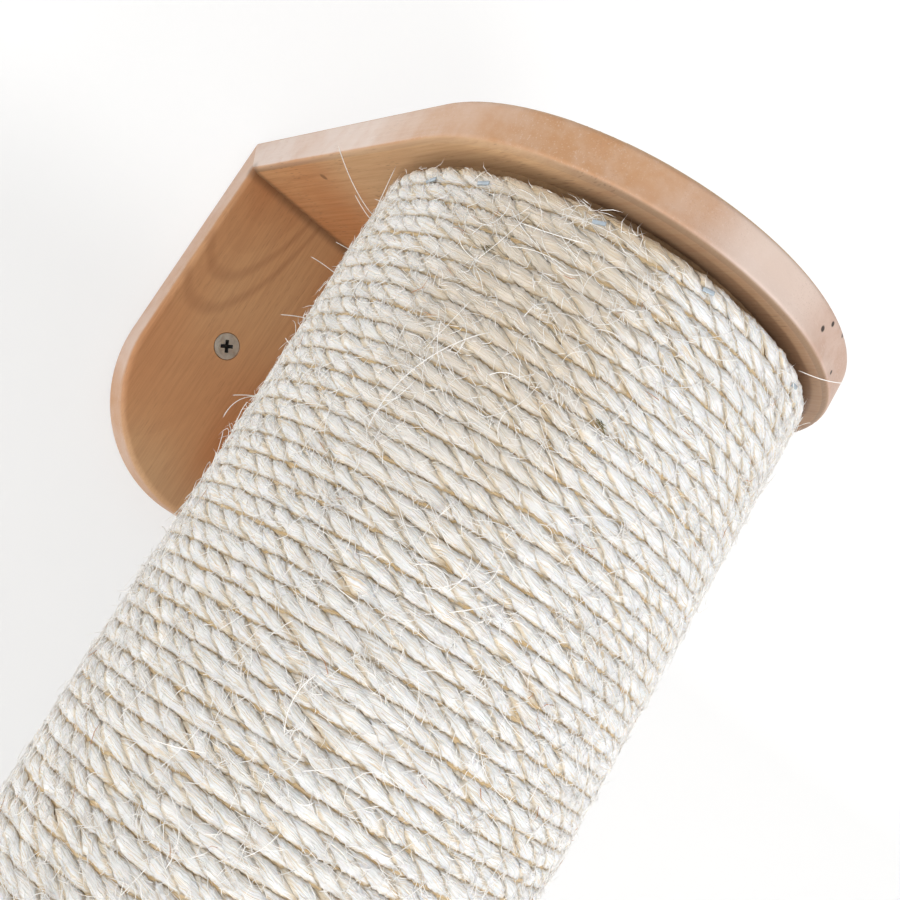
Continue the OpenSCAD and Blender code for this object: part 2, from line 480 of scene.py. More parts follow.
class BoardFinish(Finish):
    """Beech-like board: growth rings round a pith line, fine fibres and short flecks.

    turn brings the grain to the third coordinate. pith is where the pith line meets the middle height,
    and rise is how far it leans away from the face for each length along the grain. figure holds the
    distances from the pith of rings that stand out.
    """

    def __init__(self, name, wood, turn, pith, rise, seed, figure=()):
        super().__init__(bpy.data.materials.new(name))
        self.wood = wood
        self.place = self.point()
        self.x, self.y, self.z = self.split(self.place)
        turned = self.add("ShaderNodeMapping")
        turned.inputs["Rotation"].default_value = turn
        self.put(turned.inputs["Vector"], self.place)
        self.across, self.depth, self.along = self.split(Signal(self, turned.outputs[0]))
        self.from_axis = self.axis_distance(self.x, self.y)
        self.cosine = self.x / self.from_axis
        self.inner_face = self.fade(abs(self.z), INNER_Z + 2 * MM, INNER_Z + 8 * MM)

        shifted = self.join(self.across + seed, self.depth, self.along * 0.15)
        self.sway = self.noise(shifted, 26.0) - 0.5
        self.rings = self.growth_rings(pith, rise, seed, figure, self.noise(shifted, 120.0) - 0.5)
        self.fibres = self.noise(self.join(self.across, self.depth, self.along * 0.03), 1500.0, 3.0, 0.6)
        strokes = self.cells(self.join(self.across * 1300.0, self.depth * 1300.0, self.along * 170.0))
        areas = self.noise(self.join(self.across, self.depth, self.along), 45.0)
        most = 0.3 if figure else 0.8
        self.flecks = self.fade(strokes, 0.12, 0.34) * self.span(areas, 0.42, 0.62, 0.1, most)

    def growth_rings(self, pith, rise, seed, figure, fine_sway):
        """How dark each point is from the lines between the growth rings."""
        lean = (self.along - pith[2]) * rise
        radius = self.length(self.join(self.across - pith[0], self.depth - pith[1] - lean))
        radius = radius + self.sway * (0.0025 if figure else 0.006) + fine_sway * 0.0008
        phase = self.fraction(radius / self.wood.ring_width)
        rings = self.span(phase, 0.15, 0.9) * self.fade(phase, 0.9, 1.0)
        uneven = self.noise(self.join(radius, seed), 90.0, 1.0)
        rings = rings * self.span(uneven, 0.35, 0.65, 0.01, 0.07 if figure else 0.16)
        for line in figure:
            rings = self.highest(rings, self.fade(abs(radius - line), 0.1 * MM, 1.2 * MM, 0.3))
        return rings

    def clouded_face(self):
        clouds = self.noise(self.join(self.across, self.depth, self.along * 0.35), 17.0, 3.0)
        return self.blend(self.span(clouds, 0.3, 0.7), self.wood.dark, self.wood.light)

    def sanded_rim(self, sideways):
        """Paler along the grain, browner across it, and mottled."""
        clouds = self.span(self.noise(self.place, 24.0, 3.0), 0.35, 0.7, -0.12, 0.3)
        rim = self.blend(self.math("ADD", sideways, clouds, True), self.wood.end_grain, self.wood.edge)
        mottle = self.noise(self.place, 150.0, 3.0, 0.6)
        rim = self.blend(self.span(mottle, 0.4, 0.75, 0.0, 0.2), rim, self.wood.edge)
        return self.blend(self.fade(mottle, 0.25, 0.55, 0.16), rim, self.wood.dark)

    def scuff(self, rim, middle, bare_spot):
        """Rubs the rim grey round its middle, with pale scratches and one bare spot."""
        reach = 80 * MM
        rubbed = self.fade(self.distance(self.place, middle), reach * 0.35, reach, 0.85)
        rim = self.blend(rubbed, rim, self.wood.scuffed)
        worn = self.span(self.noise(self.place, 55.0, 4.0, 0.7), 0.42, 0.7, 0.0, 0.45)
        scratches = self.noise(self.stretched(self.place, (0.3, 1.0, 2.2)), 420.0, 3.0, 0.7)
        worn = self.highest(worn, self.span(scratches, 0.58, 0.66, 0.0, 0.3)) * rubbed
        rim = self.blend(worn, rim, self.wood.edge)
        bare = self.fade(self.distance(self.place, bare_spot), 10 * MM, 31 * MM, 0.7)
        return self.blend(bare, rim, self.wood.edge)

    def finished(self, face, rim, thickness_axis, bevel=None, marks=()):
        """Puts grain on the face, joins it to the rim, paints shade on the rounded inner edge, in the inner
        corner over its glue line and round the post's foot, and darkens the marks.
        """
        wood = self.wood
        face = self.blend(self.rings, face, wood.ring)
        face = self.blend(self.span(self.fibres, 0.35, 0.75, 0.0, 0.22), face, wood.ring)
        glints = self.span(self.noise(self.place, 1900.0, 1.0), 0.6, 0.72, 0.0, 0.3)
        glints = glints * self.span(self.noise(self.place, 30.0), 0.35, 0.6, 0.3, 1.0)
        rim = self.blend(glints, rim, wood.edge)
        rim_share = self.fade(abs(self.normal()[thickness_axis]), 0.35, 0.7, 0.9)
        colour = self.blend(rim_share, face, rim)
        # Painted shade on the rounded inner edge, where one is given
        if bevel is not None:
            colour = self.blend(bevel, colour, wood.painted_shade)
        colour = self.blend(self.flecks * self.span(rim_share, 0.0, 0.8, 0.55, 0.12), colour, wood.fleck_and_shade)

        # Partly a dark glue line and partly painted shade: darker within a few millimetres of the inner
        # corner
        from_corner = self.length(self.join(0.0, self.y + PLATE_THICKNESS, abs(self.z) - INNER_Z))
        colour = self.blend(self.fade(from_corner, 0.4 * MM, 4.5 * MM, 0.55), colour, wood.fleck_and_shade)
        # Painted shadow on the inner face round the post's foot, stronger towards the right
        painted_foot_shadow = self.fade(self.from_axis, WINDING_RADIUS - 0.5 * MM, WINDING_RADIUS + 1.1 * MM, 0.6)
        painted_foot_shadow = painted_foot_shadow * self.span(self.x, -60 * MM, 20 * MM, 0.2, 1.0) * self.inner_face
        colour = self.blend(painted_foot_shadow, colour, wood.fleck_and_shade)
        for spot, radius, darkness in marks:
            mark = self.fade(self.distance(self.place, spot), radius * 0.5, radius, min(darkness, 1.0))
            colour = self.blend(mark, colour, times(wood.fleck_and_shade, 1 / max(darkness, 1.0) ** 3))

        height = self.fibres * 0.6 + self.flecks * -0.8
        roughness = self.span(self.fibres, 0.3, 0.7, 0.42, 0.56)
        return self.surface(colour, roughness, height, 0.05, 0.5, Specular_IOR_Level=0.4)


def end_plate_material(name, wood, scuff=None, marks=(), **grain):
    """The D-shaped boards: straw-coloured at the back left, with umber painted shade towards the front and
    right of the inner face and on its rounded edge.
    """
    f = BoardFinish(name, wood, turn=(QUARTER_TURN, 0, 0), **grain)
    left = f.fade(f.x + f.sway * 0.05, -20 * MM, 35 * MM)
    straw = f.math("ADD", f.span(f.along, -40 * MM, -90 * MM, 0.0, 0.9), f.sway * 0.5, True)
    face = f.blend(straw * left, f.clouded_face(), wood.straw)
    # Painted shade: the inner face turns umber in front of the post and towards the right
    front = f.span(f.cosine, -0.97, -0.6) * f.fade(f.y, -168 * MM, -148 * MM)
    shade = f.highest(front, f.span(f.x, 20 * MM, 60 * MM)) * f.inner_face * 0.95
    face = f.blend(shade, face, times(wood.painted_shade, 1.7))
    f.flecks = f.math("MULTIPLY", f.flecks, f.span(left, 0.0, 1.0, 1.7, 1.0), True)

    normal_x, _, normal_z = f.normal()
    sideways = f.span(abs(normal_x), 0.88, 0.98) * f.span(f.y, -165 * MM, -95 * MM, 0.0, 0.9)
    rim = f.sanded_rim(sideways)
    if scuff:
        rim = f.scuff(rim, *scuff)
    # Painted shade: umber on the rounded edge between the rim and the inner face
    inward = normal_z * -1.0 * f.math("SIGN", f.z)
    bevel = f.span(inward, 0.4, 0.85) * f.fade(inward, 0.95, 1.0) * f.span(f.cosine, -0.97, -0.5, 0.25, 0.6)
    return f.finished(face, rim, 2, bevel, marks)


def wall_plate_material(name, wood, **grain):
    """The boards on the wall: a bold figure, orange across the middle and straw-coloured at the tip."""
    f = BoardFinish(name, wood, turn=(0, 0, 0), **grain)
    height = abs(f.z)
    face = f.blend(f.fade(abs(height - 205 * MM), 5 * MM, 40 * MM, 0.4), f.clouded_face(), wood.orange)
    face = f.blend(f.fade(height, 160 * MM, 190 * MM, 0.7), face, wood.straw)
    sideways = f.span(abs(f.normal()[0]), 0.88, 0.98) * 0.35
    return f.finished(face, f.sanded_rim(sideways), 1)


def rope_top(rope):
    """Height of the middle of the rope where the winding starts."""
    return WINDING_HIGH.z - rope.diameter / 2 * math.cos(math.pi / 6)


def rope_material(rope):
    """Laid sisal: fine fibres along each strand, with painted shade: tan in the grooves, greyer and darker
    under the upper end plate.
    """
    f = new_finish("laid_sisal")
    along, round_strand, _ = f.split(f.read("ShaderNodeUVMap", 0, uv_map="strand"))
    groove = f.read("ShaderNodeAttribute", "Fac", attribute_name="groove")
    shade = f.read("ShaderNodeAttribute", "Fac", attribute_name="shade")

    swayed = round_strand + f.noise(f.join(along * 1.6, round_strand * 5.0), 1.0, 1.0) * 0.06
    thin = f.noise(f.join(along * 1.3, swayed * 64.0), 1.0, 1.0, 0.6)
    wide = f.noise(f.join(along * 0.9, swayed * 28.0), 1.0, 1.0, 0.6)
    yarn = f.noise(f.join(along, swayed * 12.0), 1.0, 1.0, 0.6)
    tuft = f.noise(f.join(along * 1.5, round_strand * 3.0), 1.0)
    fibres = thin * 0.4 + wide * 0.6
    colour = f.blend(f.fade(fibres, 0.41, 0.53), rope.pale, rope.warm)
    colour = f.blend(f.fade(fibres, 0.36, 0.46, 0.8), colour, rope.groove)
    colour = f.blend(f.fade(yarn, 0.3, 0.42, 0.6), colour, rope.groove)
    colour = f.blend(f.span(tuft, 0.5, 0.72, 0.0, 0.3), colour, rope.warm)
    colour = f.blend(f.fade(shade, 0.0, 1.0, 0.3), colour, rope.warm)

    # Painted shade: tan where a turn meets the next one and where a strand goes under another
    x, y, z = f.split(f.point())
    wound = (f.axis_angle(x, y) - rope.start_angle) / FULL_TURN
    row = wound - (z - rope_top(rope)) / rope.turn_pitch
    from_middle = abs(f.fraction(row + 0.5) - 0.5)
    between = f.span(from_middle, 0.38, 0.475, 0.0, 0.9) * f.span(tuft, 0.35, 0.62, 0.5, 1.0)
    under = f.span(groove, 0.26, 0.46, 0.0, 0.85) * f.span(tuft, 0.3, 0.6, 0.55, 1.0)
    colour = f.blend(f.highest(between, under), colour, rope.groove)

    # Painted shade: greyer at the top left under the end plate, darker in the top turn, warmer on the left
    # and on upper sides
    from_axis = f.axis_distance(x, y)
    cosine = x / from_axis
    at_left = f.span(cosine, -0.99, -0.85, 0.2, 1.0) * f.fade(cosine, -0.6, -0.2)
    # Painted shadow of the upper end plate over the rope at the left
    painted_plate_shadow = f.span(z, INNER_Z - 125 * MM, INNER_Z - 30 * MM, 0.0, 0.55) * at_left
    colour = f.blend(painted_plate_shadow, colour, times(rope.groove, 0.8))
    top_turn = f.span(z, INNER_Z - 9 * MM, INNER_Z - 4 * MM, 0.0, 0.85) * f.fade(cosine, -0.5, 0.0)
    colour = f.blend(top_turn, colour, rope.pit)
    colour = f.blend(f.fade(cosine, -0.6, 0.0, 0.1), colour, rope.groove)
    colour = f.blend(f.span(f.normal()[2], 0.1, 0.8, 0.0, 0.35), colour, rope.warm)
    # Painted shade: the pit colour deep between the strands
    deep = f.fade(from_axis, WINDING_RADIUS - 2.1 * MM, WINDING_RADIUS - 1.1 * MM, 0.85)
    colour = f.blend(deep, colour, rope.pit)

    return f.surface(
        colour, 0.62, thin * 0.8 + (wide + yarn * 1.8), 0.55, 1.0,
        Specular_IOR_Level=0.25, Sheen_Weight=0.15, Sheen_Roughness=0.5,
        Subsurface_Weight=0.6, Subsurface_Radius=(1.0, 0.88, 0.75), Subsurface_Scale=1.8 * MM,
    )


def pressed_fibre_and_shade_material(rope):
    """Tan fibres that lie pressed together in the grooves, round the post; their tan is also painted shade
    deep in the grooves.
    """
    f = new_finish("pressed_sisal")
    x, y, z = f.split(f.point())
    strands = f.noise(f.join(f.axis_angle(x, y) * 12.0, z * 2600.0), 1.0, 2.0, 0.6)
    clouds = f.noise(f.join(x, y, z), 160.0)
    colour = f.blend(f.span(strands, 0.35, 0.65), rope.pit, rope.groove)
    colour = f.blend(f.span(clouds, 0.35, 0.7, 0.0, 0.6), colour, rope.pit)
    return f.surface(
        colour, f.span(strands, 0.3, 0.7, 0.6, 0.75), strands, 0.4, 1.0,
        Specular_IOR_Level=0.2, Sheen_Weight=0.15,
        Subsurface_Weight=0.35, Subsurface_Radius=(1.0, 0.75, 0.5), Subsurface_Scale=1.2 * MM,
    )


# What the attribute "stain" says of a loose fibre: a few of the shares drawn are brown, and 2 is green
BROWN_SHARE = 0.993
GREEN = 2.0


def fibre_material(fibres):
    """Loose sisal fibres, mostly pale, some brown."""
    f = new_finish("loose_sisal")
    stain = f.read("ShaderNodeAttribute", "Fac", attribute_name="stain")
    streak = f.noise(f.point(), 900.0)
    colour = f.blend(f.span(streak, 0.3, 0.8, 0.0, 0.12), fibres.colour, fibres.stained)
    colour = f.blend(f.math("GREATER_THAN", stain, BROWN_SHARE), colour, fibres.stained)
    colour = f.blend(f.math("GREATER_THAN", stain, (1 + GREEN) / 2), colour, fibres.green)
    return f.surface(colour, 0.6, streak, 0.02, 0.4, Specular_IOR_Level=0.3, Sheen_Weight=0.1)


def plain_wood_material(name, colour_a, colour_b, grain):
    """Pale wood of the hidden plugs and biscuits."""
    f = new_finish(name)
    place = f.point()
    lines = f.noise(f.stretched(place, grain), 420.0, 3.0, 0.6)
    colour = f.blend(f.span(lines, 0.35, 0.7), colour_a, colour_b)
    colour = f.blend(f.span(f.noise(place, 40.0), 0.35, 0.7, 0.0, 0.3), colour, colour_b)
    return f.surface(colour, f.span(lines, 0.3, 0.7, 0.5, 0.68), lines, 0.06, 0.5)


def cardboard_material(wood):
    """Wound cardboard with the slanting seams of its plies."""
    f = new_finish("wound_cardboard")
    x, y, z = f.split(f.point())
    plies_in_a_metre = 9.0
    ply = f.fraction(z * plies_in_a_metre + f.axis_angle(x, y) / FULL_TURN)
    seam = f.span(abs(ply - 0.5), 0.485, 0.497)
    pulp = f.noise(f.join(x, y, z), 700.0, 4.0, 0.7)
    dark = times(wood.card, 0.62)
    colour = f.blend(f.span(pulp, 0.35, 0.7, 0.0, 0.5), wood.card, dark)
    colour = f.blend(seam, colour, dark)
    return f.surface(colour, f.span(pulp, 0.3, 0.7, 0.75, 0.92), pulp - seam, 0.1, 0.6)


def metal_material(name, colour, roughness_low, roughness_high, metallic=1.0):
    """Plated steel with a clouded, slightly scratched skin."""
    f = new_finish(name)
    place = f.point()
    clouds = f.noise(place, 500.0, 3.0, 0.6)
    scratches = f.noise(f.stretched(place, (1.0, 8.0, 1.0)), 900.0)
    tone = f.blend(f.span(clouds, 0.35, 0.75, 0.0, 0.6), colour, times(colour, 0.7))
    roughness = f.span(scratches, 0.3, 0.7, roughness_low, roughness_high)
    return f.surface(tone, roughness, scratches, 0.02, 0.4, Metallic=metallic)


def backdrop_material(colour):
    """White from the room side, clear from behind, with a soft shadow and painted light that brightens it
    towards the top and the right.
    """
    f = new_finish("white_backdrop")
    place = f.point()
    x, _, z = f.split(place)
    clouds = f.span(f.noise(place, 6.0), 0.3, 0.7, 0.0, 0.2)
    matt = f.feed("ShaderNodeBsdfDiffuse", 0, f.blend(clouds, colour, times(colour, 0.97)))
    # Painted light: the backdrop glows a little brighter towards the top and the right
    painted_light = f.highest(f.span(z, 210 * MM, 285 * MM, 0.0, 0.15), f.span(x, 0.0, 200 * MM, 0.0, 0.015))
    glow = f.add("ShaderNodeEmission")
    f.put(glow.inputs["Strength"], painted_light + 0.917)
    lit = f.mix_shaders(f.seen_rays() * 0.72, matt, Signal(f, glow.outputs[0]))
    from_behind = f.read("ShaderNodeNewGeometry", "Backfacing")
    clear = f.read("ShaderNodeBsdfTransparent", 0)
    f.put(f.output.inputs["Surface"], f.mix_shaders(from_behind, lit, clear))
    return f.owner


# The rope and its fibres

# Steps of a strand's map in a metre
MAP_STEPS = 100


def wander(position, wavelength, amplitude, chance):
    """Smooth unevenness along a length, from a few waves of chance lengths."""
    usual_sum = 1.6
    total = np.zeros_like(position)
    for _ in range(5):
        wave = wavelength * chance.uniform(0.6, 1.9)
        total += np.sin(FULL_TURN * (position / wave + chance.random()))
    return total * amplitude / usual_sum


def tube_piece(name, rings, along, round_strand, lap, values):
    """A closed tube through rings of points, with a UV map along and round it.

    The last side of a ring runs on past the seam by the lap, instead of back to the ring's start.
    """
    ring_count, sides = rings.shape[:2]
    first = np.arange(ring_count - 1)[:, None] * sides
    side = np.arange(sides)[None, :]
    near = first + side
    far = first + (side + 1) % sides
    walls = np.stack([near, far, far + sides, near + sides], -1).reshape(-1)
    last = (ring_count - 1) * sides
    caps = np.array([range(sides - 1, -1, -1), range(last, last + sides)]).reshape(-1)
    loops = np.concatenate([walls, caps])
    starts = np.concatenate([np.arange(0, walls.size, 4), walls.size + np.array([0, sides])])
    seam = np.zeros(loops.size, bool)
    on_last_side = np.tile(np.arange(sides) == sides - 1, ring_count - 1)
    far_corners = np.array([False, True, True, False])
    seam[: walls.size] = (on_last_side[:, None] & far_corners).reshape(-1)
    v = round_strand.reshape(-1)[loops] + np.where(seam, lap, 0.0)
    strand_map = np.stack([np.repeat(along, sides)[loops], v], -1)
    return mesh_piece(name, rings, loops, starts, values, strand_map)


def pressed_together(rope, outward, upward):
    """Presses a strand flat where neighbouring turns meet, and flattens the rope's outer half.

    The ridges of the flattened half still reach the winding's outside.
    """
    meet = rope.turn_pitch / 2 + 0.45 * MM
    upward = upward / (1 + np.abs(upward / meet) ** 8) ** (1 / 8)
    outward = outward - rope.rounding * np.abs(upward / meet) ** 5
    full = rope.strand_offset + rope.strand_diameter / 2
    outward = np.where(outward > 0, outward * rope.flatness, outward) + full * (1 - rope.flatness)
    return outward, upward


class CLIMBINGPOST_OT_wind_rope(bpy.types.Operator):
    """Wind the three-strand sisal rope round the whole post"""

    bl_idname = "climbing_post.wind_rope"
    bl_label = "Wind rope"

    def execute(self, context):
        rope = context.scene.climbing_post_rope
        material = rope_material(rope)
        chance = random.Random(rope.seed)
        centre_radius = WINDING_RADIUS - rope.diameter / 2
        strand_radius = rope.strand_diameter / 2
        top = rope_top(rope)
        per_radian = math.hypot(centre_radius, rope.turn_pitch / FULL_TURN)
        length = 2 * top / rope.turn_pitch * FULL_TURN * per_radian
        count = int(length / rope.ring_step) + 1
        s = np.linspace(0.0, length, count)
        lift = wander(s, 60 * MM, 0.10 * MM, chance)[:, None]
        shift = wander(s, 90 * MM, 0.12 * MM, chance)
        twist = wander(s, 110 * MM, 0.3, chance)
        angle = (rope.start_angle - s / per_radian)[:, None]
        height = (top - rope.turn_pitch * s / per_radian / FULL_TURN + shift)[:, None]
        # The first of a section's seven points lies inside the rope, a little closer in
        sides = np.radians([-180, -95, -55, -18, 18, 55, 95])
        closer = np.where(np.abs(sides) > math.radians(143), 0.8, 1.0)
        for strand in range(3):
            lay = FULL_TURN * (s / rope.lay_length + strand / 3)
            phase = (lay + twist + wander(s, 34 * MM, 0.2, chance))[:, None]
            fullness = 1 + wander(s, 10 * MM, 0.1, chance)[:, None]
            offset = rope.strand_offset * (1 + wander(s, 25 * MM, 0.08, chance)[:, None])
            around = phase + sides
            grain = np.random.default_rng(rope.seed + strand).normal(0.0, 0.03 * MM, around.shape)
            section = strand_radius * fullness * closer + grain
            outward, upward = pressed_together(
                rope,
                offset * np.cos(phase) + section * np.cos(around) + lift,
                rope.spread * (offset * np.sin(phase) + section * np.sin(around)),
            )
            radius = centre_radius + outward
            rings = np.stack(
                [radius * np.cos(angle), AXIS_Y + radius * np.sin(angle), height + upward], -1
            )
            round_strand = (sides * strand_radius + rope.fibre_slope * s[:, None]) * MAP_STEPS
            lap = FULL_TURN * strand_radius * MAP_STEPS
            groove = np.broadcast_to((1 - np.cos(sides)) / 2, around.shape)
            shade = np.clip(0.5 + wander(s, 45 * MM, 0.3, chance), 0, 1)[:, None] * np.ones_like(around)
            for part, own in {"upper": slice(0, count // 2 + 1), "lower": slice(count // 2, count)}.items():
                values = {"groove": groove[own], "shade": shade[own]}
                name = f"rope_strand_{strand + 1}_{part}"
                piece = tube_piece(name, rings[own], s[own] * MAP_STEPS, round_strand[own], lap, values)
                dress(piece, material, "sisal_rope", "sisal_winding_upper", "sisal_winding_lower")
        self.close_grooves(rope, top)
        return {"FINISHED"}

    def close_grooves(self, rope, top):
        """Adds the fibres that lie pressed together under the strands, as a closed sleeve whose tan is also
        painted shade deep in the grooves.
        """
        inner, outer = WINDING_RADIUS - 4.5 * MM, WINDING_RADIUS - rope.felt_depth
        end, edge = top - rope.turn_pitch * 0.8, 0.6 * MM
        bpy.ops.mesh.primitive_circle_add(vertices=160, radius=inner, fill_type="NOTHING", location=(0, 0, 0))
        felt = new_piece("pressed_fibres")
        start_edit()
        bpy.ops.transform.translate(value=(0, AXIS_Y, -end))
        profile = (
            (-end, outer - edge),
            (edge - end, outer),
            (end - edge, outer),
            (end, outer - edge),
            (end, inner),
        )
        draw_up(-end, inner, profile, AXIS_Y)
        edit_select(felt, lambda side: side.is_boundary, "edges")
        bpy.ops.mesh.bridge_edge_loops()
        turn_outwards()
        end_edit()
        smooth(felt, 40)
        dress(felt, pressed_fibre_and_shade_material(rope), "sisal_rope")


def fibres_piece(name, paths, thickness, stain):
    """Fibres as thin three-sided tubes that end in a point, all in one mesh."""
    count, rings = len(paths), paths.shape[1] - 1
    forward = np.gradient(paths, axis=1)[:, :rings]
    forward /= np.linalg.norm(forward, axis=-1, keepdims=True)
    side = np.cross(forward, (0.31, 0.52, 0.79))
    side /= np.linalg.norm(side, axis=-1, keepdims=True)
    other = np.cross(forward, side)
    turn = (np.arange(3) * FULL_TURN / 3)[:, None]
    spokes = np.cos(turn) * side[:, :, None] + np.sin(turn) * other[:, :, None]
    corners = paths[:, :rings, None] + thickness[:, None, None, None] / 2 * spokes
    points = np.concatenate([corners.reshape(count, -1, 3), paths[:, -1:]], 1)
    faces = [(2, 1, 0)]
    for ring in range(rings):
        for corner in range(3):
            a, b = ring * 3 + corner, ring * 3 + (corner + 1) % 3
            faces.append((a, b, b + 3, a + 3) if ring < rings - 1 else (a, b, rings * 3))
    loops = np.array([corner for face in faces for corner in face])
    starts = np.cumsum([0] + [len(face) for face in faces[:-1]])
    own = np.arange(count)[:, None]
    stains = np.repeat(stain, points.shape[1])
    return mesh_piece(
        name, points, loops + own * points.shape[1], starts + own * len(loops), {"stain": stains}
    )


def fibre_paths(angle, height, heading, length, lift, bend, steps, rooted):
    """Fibres that leave the rope at an angle and height, and bend on their way over the surface.

    heading is the direction on the surface, 0 along the turns to the right as seen from outside.
    """
    share = np.linspace(0, 1, steps + 1)
    direction = heading[:, None] + bend[:, None] * share[1:]
    step = (length / steps)[:, None]
    start = np.zeros((len(angle), 1))
    x = np.concatenate([start, np.cumsum(step * np.cos(direction), 1)], 1)
    z = height[:, None] + np.concatenate([start, np.cumsum(step * np.sin(direction), 1)], 1)
    out = WINDING_RADIUS - rooted + (rooted + lift[:, None]) * share ** 0.8
    theta = angle[:, None] + x / WINDING_RADIUS
    return np.stack([out * np.cos(theta), AXIS_Y + out * np.sin(theta), z], -1)


def clear_ones(paths):
    """The fibres that stay between the end plates and clear of the wall plates."""
    inside = np.abs(paths[..., 2]) < INNER_Z - 0.3 * MM
    return paths[np.all(inside & (paths[..., 1] < -PLATE_THICKNESS - 0.5 * MM), 1)]


# The loose fibres that stand out most in the photograph: angle on the post and height of the root,
# heading on the surface, length, how far the tip stands off, and bend; degrees, millimetres, radians
SEEN_FIBRES = (
    (159, 267, 32, 13, 21, 0.2),
    (158, 266, 27, 5, 8, 0.0),
    (158, 254, -23, 5, 5, 0.0),
    (158, 245, -7, 7, 9, -0.3),
    (158, 228, -50, 6, 7, 0.0),
    (168, 215, 160, 9, 2, 0.0),
    (158, 199, -37, 8, 6, 0.0),
    (158, 199, -24, 30, 9, -0.2),
    (223, 237, 226, 46, 12, 1.0),
    (293, 283, 9, 10, 11, 0.7),
    (229, 120, 118, 18, 8, -1.0),
    (194, 131, 283, 14, 2, 0.0),
    (205, 102, 6, 23, 12, 0.3),
    (240, 163, 33, 20, 1, 0.2),
)
# The angle and height of the greenish bits, in degrees and millimetres
GREEN_SPOTS = ((250.5, 230.0), (211.5, 258.0))
FIBRES_IN_A_SPOT = 6
# How far up and down the chance fibres start, and how many more are drawn than kept, for those that a
# board would stop
FIBRE_REACH = INNER_Z - 5 * MM
SPARE = 1.1


class CLIMBINGPOST_OT_raise_fibres(bpy.types.Operator):
    """Add the short and long fibres that stand out of the rope"""

    bl_idname = "climbing_post.raise_fibres"
    bl_label = "Raise fibres"

    def execute(self, context):
        fibres = context.scene.climbing_post_fibres
        material = fibre_material(fibres)
        chance = np.random.default_rng(fibres.seed)
        for part in range(4):
            name = f"short_fibres_{part + 1}"
            dress(self.short_fibres(name, fibres, fibres.short_count // 4, chance), material, "sisal_rope")
        for piece in (self.long_fibres(fibres, chance), self.seen_fibres(), self.green_fibres(chance)):
            dress(piece, material, "sisal_rope")
        return {"FINISHED"}

    def short_fibres(self, name, fibres, wanted, chance):
        """Two in three lie along the strands, the others stand in small tufts."""
        count = int(wanted * SPARE)
        tufts = count // 30
        own = chance.integers(0, tufts, count)
        tufted = chance.random(count) < 0.35
        angle = chance.uniform(0, FULL_TURN, count)
        height = chance.uniform(-FIBRE_REACH, FIBRE_REACH, count)
        tuft_angle = chance.uniform(0, FULL_TURN, tufts)[own] + chance.normal(0, 0.03, count)
        tuft_height = chance.uniform(-FIBRE_REACH, FIBRE_REACH, tufts)[own]
        tuft_height = tuft_height + chance.normal(0, 2.4 * MM, count)
        back = math.pi * (chance.random(count) < 0.5)
        paths = fibre_paths(
            angle=np.where(tufted, tuft_angle, angle),
            height=np.where(tufted, tuft_height, height),
            heading=np.radians(chance.normal(-20, np.where(tufted, 50, 18))) + back,
            length=fibres.short_length * chance.uniform(0.4, 1.5, count),
            lift=chance.exponential(np.where(tufted, 0.5 * MM, 0.18 * MM)),
            bend=chance.normal(0, 1.1, count),
            steps=2,
            rooted=0.2 * MM,
        )
        paths = clear_ones(paths)[:wanted]
        thickness = fibres.thickness * chance.uniform(0.55, 1.1, len(paths))
        return fibres_piece(name, paths, thickness, chance.random(len(paths)))

    def long_fibres(self, fibres, chance):
        count = int(fibres.long_count * SPARE)
        paths = fibre_paths(
            angle=chance.uniform(0, FULL_TURN, count),
            height=chance.uniform(-FIBRE_REACH, FIBRE_REACH, count),
            heading=chance.uniform(0, FULL_TURN, count),
            length=fibres.long_length * chance.uniform(0.4, 1.7, count),
            lift=np.minimum(chance.exponential(0.9 * MM, count), 5 * MM),
            bend=chance.normal(0, 1.6, count),
            steps=7,
            rooted=0.6 * MM,
        )
        paths = clear_ones(paths)[: fibres.long_count]
        thickness = fibres.thickness * chance.uniform(0.7, 1.3, len(paths))
        never_brown = chance.random(len(paths)) * 0.97
        return fibres_piece("long_fibres", paths, thickness, never_brown)

    def seen_fibres(self):
        angle, height, heading, length, lift, bend = np.array(SEEN_FIBRES, float).T
        paths = fibre_paths(
            np.radians(angle), height * MM, np.radians(heading), length * MM, lift * MM, bend, 12, 0.8 * MM
        )
        return fibres_piece("seen_fibres", paths, np.full(len(paths), 0.3 * MM), np.zeros(len(paths)))

    def green_fibres(self, chance):
        angle, height = np.array(GREEN_SPOTS, float).repeat(FIBRES_IN_A_SPOT, 0).T
        count = len(angle)
        paths = fibre_paths(
            angle=np.radians(angle + chance.normal(0, 0.8, count)),
            height=(height + chance.normal(0, 0.5, count)) * MM,
            heading=np.radians(chance.normal(-30, 8, count)),
            length=chance.uniform(2.0, 4.5, count) * MM,
            lift=np.full(count, 0.35 * MM),
            bend=chance.normal(0, 0.4, count),
            steps=4,
            rooted=0.4 * MM,
        )
        return fibres_piece("green_fibres", paths, np.full(count, 0.25 * MM), np.full(count, GREEN))


# Staples and screws

# Angles of the staples round the post in degrees, and how far below the turn's middle each was driven,
# in millimetres; the four from 186 to 257 show in the photograph
STAPLES = (
    (8, 0.6), (35, 0.2), (62, 1.1), (88, 0.6), (117, 0.9), (150, 0.4), (186, 2.8), (202, 1.6), (230, 0.6),
    (257, 0.6), (294, 0.6), (318, 1.0), (342, 0.3),
)


